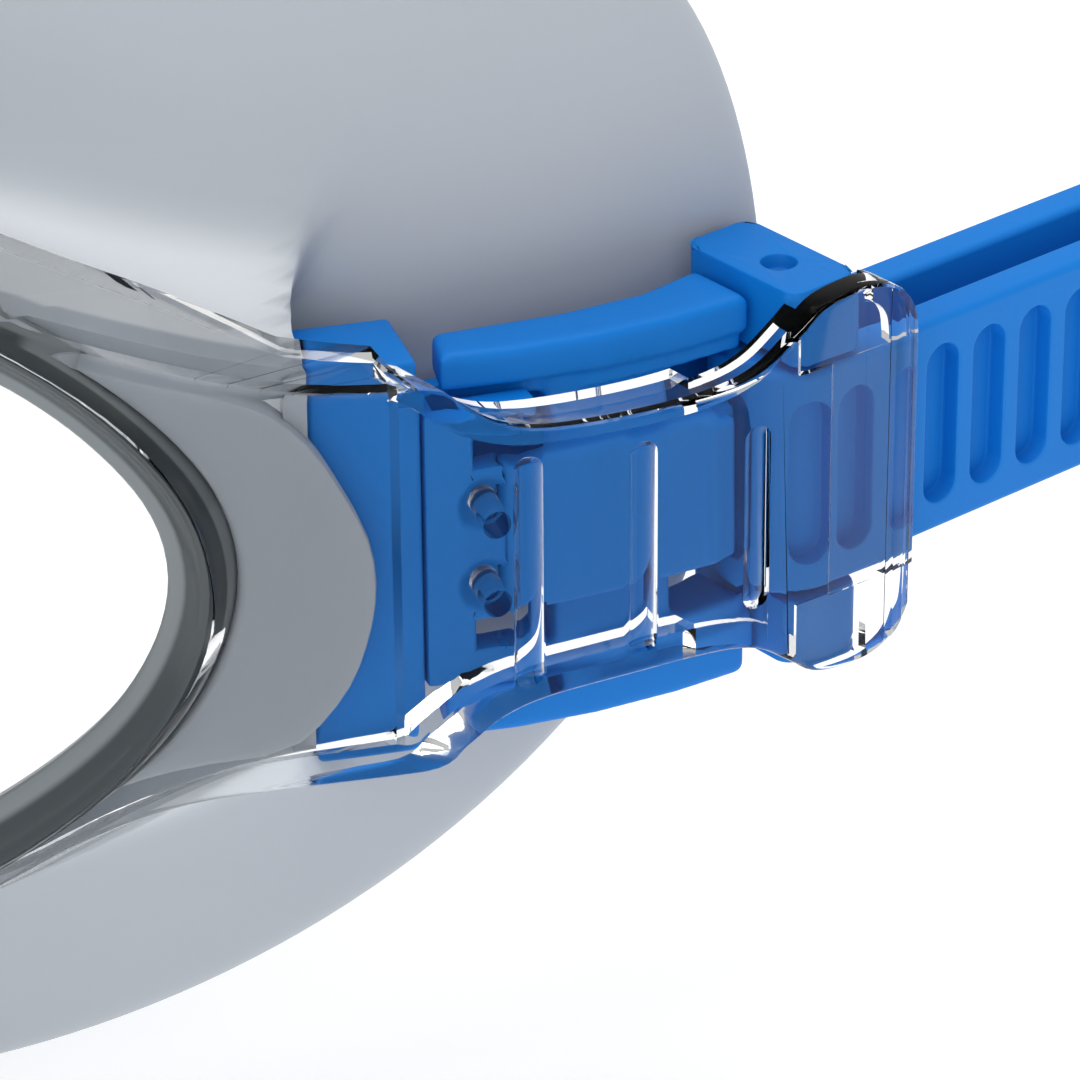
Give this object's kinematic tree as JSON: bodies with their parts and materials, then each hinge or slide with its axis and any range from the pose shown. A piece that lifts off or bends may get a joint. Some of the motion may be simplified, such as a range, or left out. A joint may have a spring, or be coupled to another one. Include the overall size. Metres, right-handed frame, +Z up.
{
  "type": "swim goggles",
  "caption": "Mask-style swim goggles with clear wraparound front, soft face skirt and ladder strap held by pinch-release buckles at the temples.",
  "frame": {"origin": "middle of the plane through the two temple ends of the sealing flange, level with the buckles", "axes": "+X to the wearer's left, +Y into the face, +Z up"},
  "size_m": [0.166, 0.209, 0.0864],
  "materials": {
    "clear_frame": "clear moulded, polished",
    "clear_lens": "clear, optically smooth",
    "gasket_grey": "soft satin",
    "skirt_silicone": "soft matt silicone",
    "buckle_blue": "satin moulded",
    "pin_steel": "dark ground",
    "roller_plastic": "matt",
    "strap_blue": "soft satin silicone",
    "keeper_blue": "soft satin silicone"
  },
  "bodies": {
    "mask": {"front_frame": "clear_frame", "lens_left": "clear_lens", "lens_right": "clear_lens", "lens_gasket_left": "gasket_grey", "lens_gasket_right": "gasket_grey", "face_skirt": "skirt_silicone", "temple_insert_left": "buckle_blue", "temple_insert_right": "buckle_blue", "buckle_base_left": "buckle_blue", "buckle_base_right": "buckle_blue", "roller_pin_left": "pin_steel", "roller_pin_right": "pin_steel", "strap": "strap_blue"},
    "lever_left": {"release_lever_left": "buckle_blue"},
    "lever_right": {"release_lever_right": "buckle_blue"},
    "roller_left": {"strap_roller_left": "roller_plastic"},
    "roller_right": {"strap_roller_right": "roller_plastic"},
    "keeper_left": {"strap_keeper_left": "keeper_blue"},
    "keeper_right": {"strap_keeper_right": "keeper_blue"}
  },
  "joints": [
    {"name": "release_left", "type": "hinge", "parent": "mask", "child": "lever_left", "pos_m": [0.07347, -0.0253, 0], "axis": [0, 0, -1], "range_deg": [0, 5], "stiffness_Nm_per_rad": 0.05},
    {"name": "release_right", "type": "hinge", "parent": "mask", "child": "lever_right", "pos_m": [-0.07347, -0.0253, 0], "axis": [0, 0, 1], "range_deg": [0, 5], "stiffness_Nm_per_rad": 0.05},
    {"name": "roller_spin_left", "type": "hinge", "parent": "mask", "child": "roller_left", "pos_m": [0.0765, -0.0058, 0], "axis": [0, 0, 1], "continuous": true},
    {"name": "roller_spin_right", "type": "hinge", "parent": "mask", "child": "roller_right", "pos_m": [-0.0765, -0.0058, 0], "axis": [0, 0, 1], "continuous": true},
    {"name": "keeper_slide_left", "type": "slide", "parent": "mask", "child": "keeper_left", "axis": [0, 1, 0], "range_m": [-0.014, 0.002]},
    {"name": "keeper_slide_right", "type": "slide", "parent": "mask", "child": "keeper_right", "axis": [0, 1, 0], "range_m": [-0.014, 0.002]}
  ]
}
